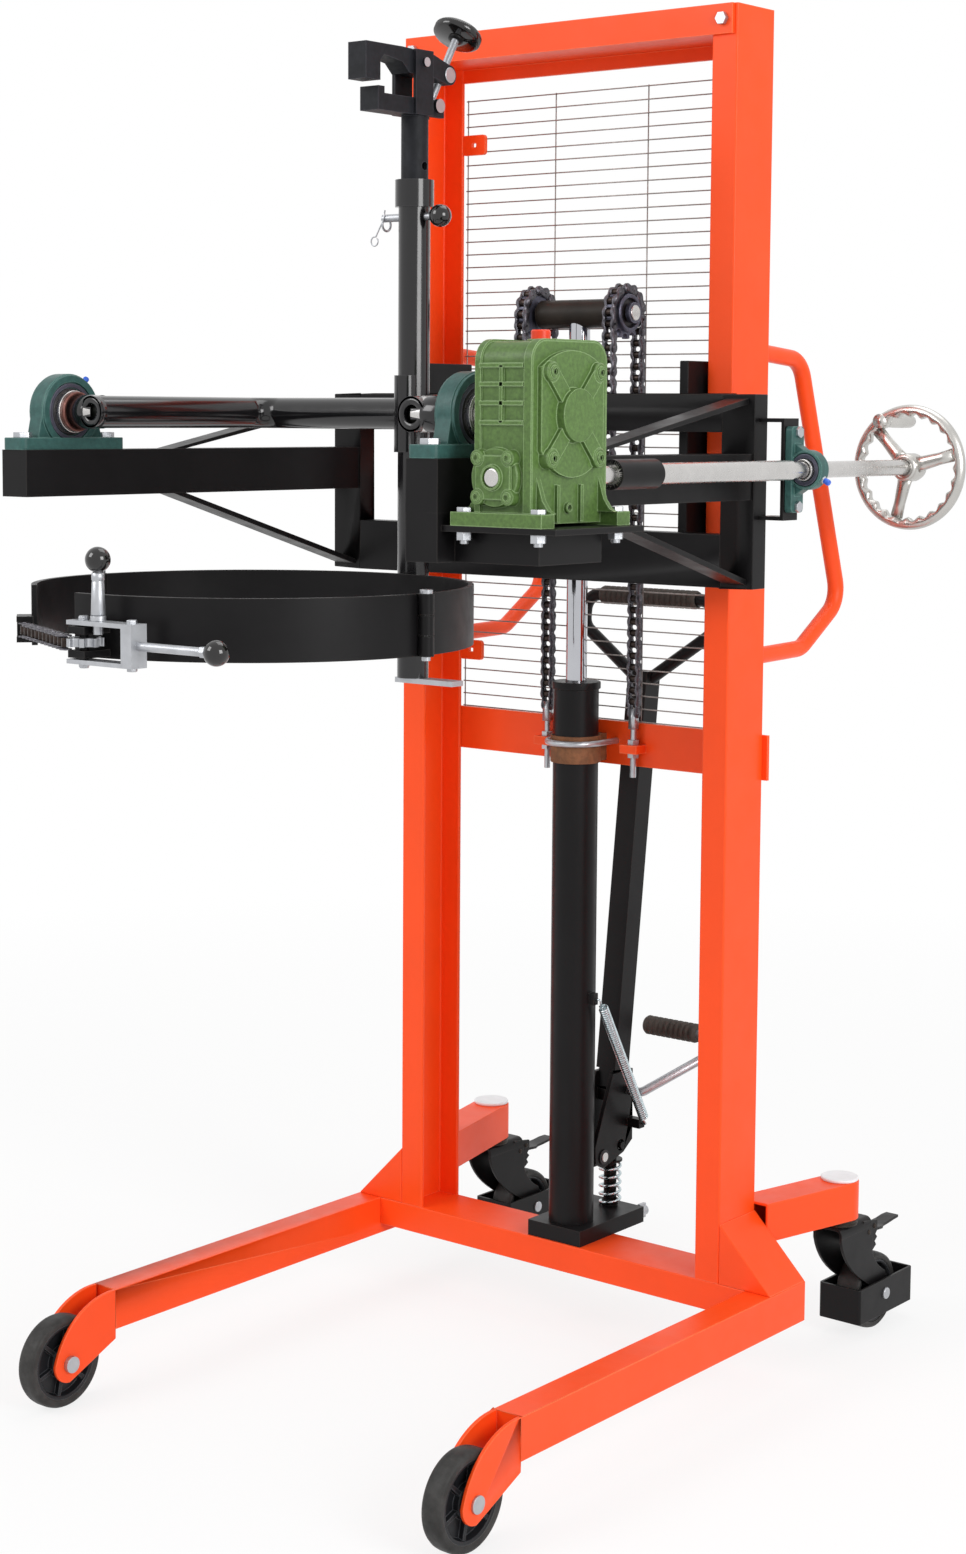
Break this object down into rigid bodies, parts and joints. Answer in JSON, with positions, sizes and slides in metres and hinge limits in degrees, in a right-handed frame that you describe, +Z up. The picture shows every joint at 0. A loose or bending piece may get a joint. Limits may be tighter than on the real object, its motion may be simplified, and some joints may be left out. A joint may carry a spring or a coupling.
{
  "type": "drum tipper",
  "caption": "Hand-pumped drum lifter and tipper: orange straddle stacker, black chain carriage, worm-geared tilting drum ring with rim clamp",
  "frame": {"origin": "on the floor under the middle of the mast pair", "axes": "+Z up along the masts, -Y towards the drum, +X to the right seen from the front"},
  "size_m": [1.051, 1.577, 2.186],
  "materials": {
    "orange_paint": "gloss powder coat",
    "black_paint": "gloss enamel",
    "zinc_steel": "bright zinc and ground steel",
    "chrome_rod": "hard chrome",
    "dark_chain": "oiled steel",
    "green_casting": "painted casting",
    "teal_casting": "painted casting",
    "polished_aluminium": "polished",
    "wheel_tread": "worn matt",
    "grip_rubber": "matt"
  },
  "bodies": {
    "frame": {"legs": "orange_paint", "base_crossbar": "orange_paint", "masts": "orange_paint", "rear_arms": "orange_paint", "top_beam": "orange_paint", "mid_beam": "orange_paint", "push_handles": "orange_paint", "wire_guard": "zinc_steel", "pump_base": "black_paint", "lift_cylinder": "black_paint", "cylinder_gland": "black_paint", "anchor_chain_runs": "dark_chain", "frame_fasteners": "zinc_steel"},
    "left_front_wheel": {"left_front_wheel": "wheel_tread"},
    "right_front_wheel": {"right_front_wheel": "wheel_tread"},
    "left_caster": {"left_caster_fork": "black_paint"},
    "right_caster": {"right_caster_fork": "black_paint"},
    "left_caster_wheel": {"left_caster_wheel": "wheel_tread"},
    "right_caster_wheel": {"right_caster_wheel": "wheel_tread"},
    "left_brake": {"left_brake_pedal": "black_paint"},
    "right_brake": {"right_brake_pedal": "black_paint"},
    "crosshead": {"crosshead": "chrome_rod", "chain_wraps": "dark_chain"},
    "chain_wheels": {"chain_wheels": "dark_chain"},
    "carriage": {"carriage_beams": "black_paint", "roller_plates": "black_paint", "carriage_arms": "black_paint", "arm_braces": "black_paint", "pillow_blocks": "teal_casting", "carriage_bolts": "zinc_steel", "gearbox_case": "green_casting", "gearbox_covers": "green_casting", "carriage_chain_runs": "dark_chain"},
    "upper_rollers": {"upper_rollers": "zinc_steel"},
    "lower_rollers": {"lower_rollers": "zinc_steel"},
    "drive": {"drive_shaft": "zinc_steel", "handwheel": "polished_aluminium"},
    "crank_grip": {"crank_grip": "polished_aluminium"},
    "tilt_frame": {"yoke_tubes": "black_paint", "post_tube": "black_paint", "ring_band": "black_paint", "ring_pins": "zinc_steel"},
    "left_ring_arm": {"left_ring_arm": "black_paint", "ring_chain": "dark_chain"},
    "right_ring_arm": {"right_ring_arm": "black_paint"},
    "latch_lever": {"latch_lever": "zinc_steel"},
    "latch_pawl": {"latch_pawl": "zinc_steel"},
    "slip_post": {"slip_post": "black_paint"},
    "upper_jaw": {"upper_jaw": "black_paint"},
    "clamp_screw": {"clamp_screw": "zinc_steel"},
    "lock_pin": {"lock_pin": "zinc_steel"},
    "pump_rocker": {"pump_rocker": "black_paint", "hand_lever": "black_paint", "lever_grip": "grip_rubber", "foot_pedal": "zinc_steel", "pull_spring": "zinc_steel"},
    "pump_plunger": {"pump_plunger": "zinc_steel", "plunger_spring": "zinc_steel"},
    "release_valve": {"release_valve": "zinc_steel"}
  },
  "joints": [
    {"name": "left_front_wheel_roll", "type": "hinge", "parent": "frame", "child": "left_front_wheel", "pos_m": [-0.41, -0.7876, 0.0725], "axis": [1, 0, 0], "continuous": true},
    {"name": "left_caster_swivel", "type": "hinge", "parent": "frame", "child": "left_caster", "pos_m": [-0.376, 0.2506, 0.205], "axis": [0, 0, 1], "continuous": true},
    {"name": "left_caster_roll", "type": "hinge", "parent": "left_caster", "child": "left_caster_wheel", "pos_m": [-0.376, 0.3426, 0.065], "axis": [1, 0, 0], "continuous": true},
    {"name": "left_brake_press", "type": "hinge", "parent": "left_caster", "child": "left_brake", "pos_m": [-0.376, 0.3226, 0.158], "axis": [-1, 0, 0], "range_deg": [0, 10]},
    {"name": "right_front_wheel_roll", "type": "hinge", "parent": "frame", "child": "right_front_wheel", "pos_m": [0.41, -0.7876, 0.0725], "axis": [1, 0, 0], "continuous": true},
    {"name": "right_caster_swivel", "type": "hinge", "parent": "frame", "child": "right_caster", "pos_m": [0.376, 0.2506, 0.205], "axis": [0, 0, 1], "continuous": true},
    {"name": "right_caster_roll", "type": "hinge", "parent": "right_caster", "child": "right_caster_wheel", "pos_m": [0.376, 0.3426, 0.065], "axis": [1, 0, 0], "continuous": true},
    {"name": "right_brake_press", "type": "hinge", "parent": "right_caster", "child": "right_brake", "pos_m": [0.376, 0.3226, 0.158], "axis": [-1, 0, 0], "range_deg": [0, 10]},
    {"name": "lift", "type": "slide", "parent": "frame", "child": "carriage", "axis": [0, 0, 1], "range_m": [-1.05, 0.35], "deforming": ["carriage_chain_runs"]},
    {"name": "crosshead_rise", "type": "slide", "parent": "frame", "child": "crosshead", "axis": [0, 0, 1], "range_m": [-0.525, 0.175], "deforming": ["anchor_chain_runs", "chain_wraps"]},
    {"name": "chain_wheel_turn", "type": "hinge", "parent": "crosshead", "child": "chain_wheels", "pos_m": [0, 0, 1.72], "axis": [1, 0, 0], "continuous": true},
    {"name": "upper_roller_turn", "type": "hinge", "parent": "carriage", "child": "upper_rollers", "pos_m": [0, 0, 1.585], "axis": [1, 0, 0], "continuous": true},
    {"name": "lower_roller_turn", "type": "hinge", "parent": "carriage", "child": "lower_rollers", "pos_m": [0, 0, 1.345], "axis": [1, 0, 0], "continuous": true},
    {"name": "tilt", "type": "hinge", "parent": "carriage", "child": "tilt_frame", "pos_m": [0, -0.77, 1.555], "axis": [1, 0, 0], "range_deg": [0, 180]},
    {"name": "handwheel_turn", "type": "hinge", "parent": "carriage", "child": "drive", "pos_m": [0.505, -0.1, 1.475], "axis": [0, 1, 0], "continuous": true},
    {"name": "crank_grip_spin", "type": "hinge", "parent": "drive", "child": "crank_grip", "pos_m": [0.45395, 0.257, 1.54791], "axis": [0, 1, 0], "continuous": true},
    {"name": "left_ring_arm_swing", "type": "hinge", "parent": "tilt_frame", "child": "left_ring_arm", "pos_m": [-0.3225, -0.77, 1.2705], "axis": [0, 0, -1], "range_deg": [0, 90], "deforming": ["ring_chain"]},
    {"name": "right_ring_arm_swing", "type": "hinge", "parent": "tilt_frame", "child": "right_ring_arm", "pos_m": [0.3225, -0.77, 1.2705], "axis": [0, 0, 1], "range_deg": [0, 90]},
    {"name": "latch_turn", "type": "hinge", "parent": "right_ring_arm", "child": "latch_lever", "pos_m": [0.02, -1.1145, 1.252], "axis": [0, 0, -1], "range_deg": [0, 110]},
    {"name": "pawl_lift", "type": "slide", "parent": "latch_lever", "child": "latch_pawl", "axis": [0, 0, 1], "range_m": [0, 0.012]},
    {"name": "post_slide", "type": "slide", "parent": "tilt_frame", "child": "slip_post", "axis": [0, 0, 1], "range_m": [-0.075, 0.15]},
    {"name": "jaw_open", "type": "hinge", "parent": "slip_post", "child": "upper_jaw", "pos_m": [0, -0.425, 2.08], "axis": [-1, 0, 0], "range_deg": [-3, 6]},
    {"name": "clamp_screw_turn", "type": "hinge", "parent": "upper_jaw", "child": "clamp_screw", "pos_m": [0, -0.359, 2.068], "axis": [0, 0.5093, 0.8606], "continuous": true},
    {"name": "lock_pin_turn", "type": "hinge", "parent": "tilt_frame", "child": "lock_pin", "pos_m": [0, -0.42, 1.852], "axis": [1, 0, 0], "continuous": true},
    {"name": "pump_stroke", "type": "hinge", "parent": "frame", "child": "pump_rocker", "pos_m": [0, 0.062, 0.291], "axis": [-1, 0, 0], "range_deg": [0, 25], "deforming": ["pull_spring"]},
    {"name": "plunger_stroke", "type": "slide", "parent": "frame", "child": "pump_plunger", "axis": [0, 0, -1], "range_m": [0, 0.0225], "deforming": ["plunger_spring"]},
    {"name": "valve_turn", "type": "hinge", "parent": "frame", "child": "release_valve", "pos_m": [0.0406, 0.136, 0.1795], "axis": [0, 1, 0], "range_deg": [0, 90]}
  ],
  "couplings": [
    {"joint": "crosshead_rise", "follows": "lift", "ratio": 0.5},
    {"joint": "chain_wheel_turn", "follows": "lift", "rad_per_m": -12.561},
    {"joint": "upper_roller_turn", "follows": "lift", "rad_per_m": 22.371},
    {"joint": "lower_roller_turn", "follows": "lift", "rad_per_m": -22.371},
    {"joint": "handwheel_turn", "follows": "tilt", "ratio": 40},
    {"joint": "plunger_stroke", "follows": "pump_stroke", "m_per_rad": 0.0507}
  ]
}
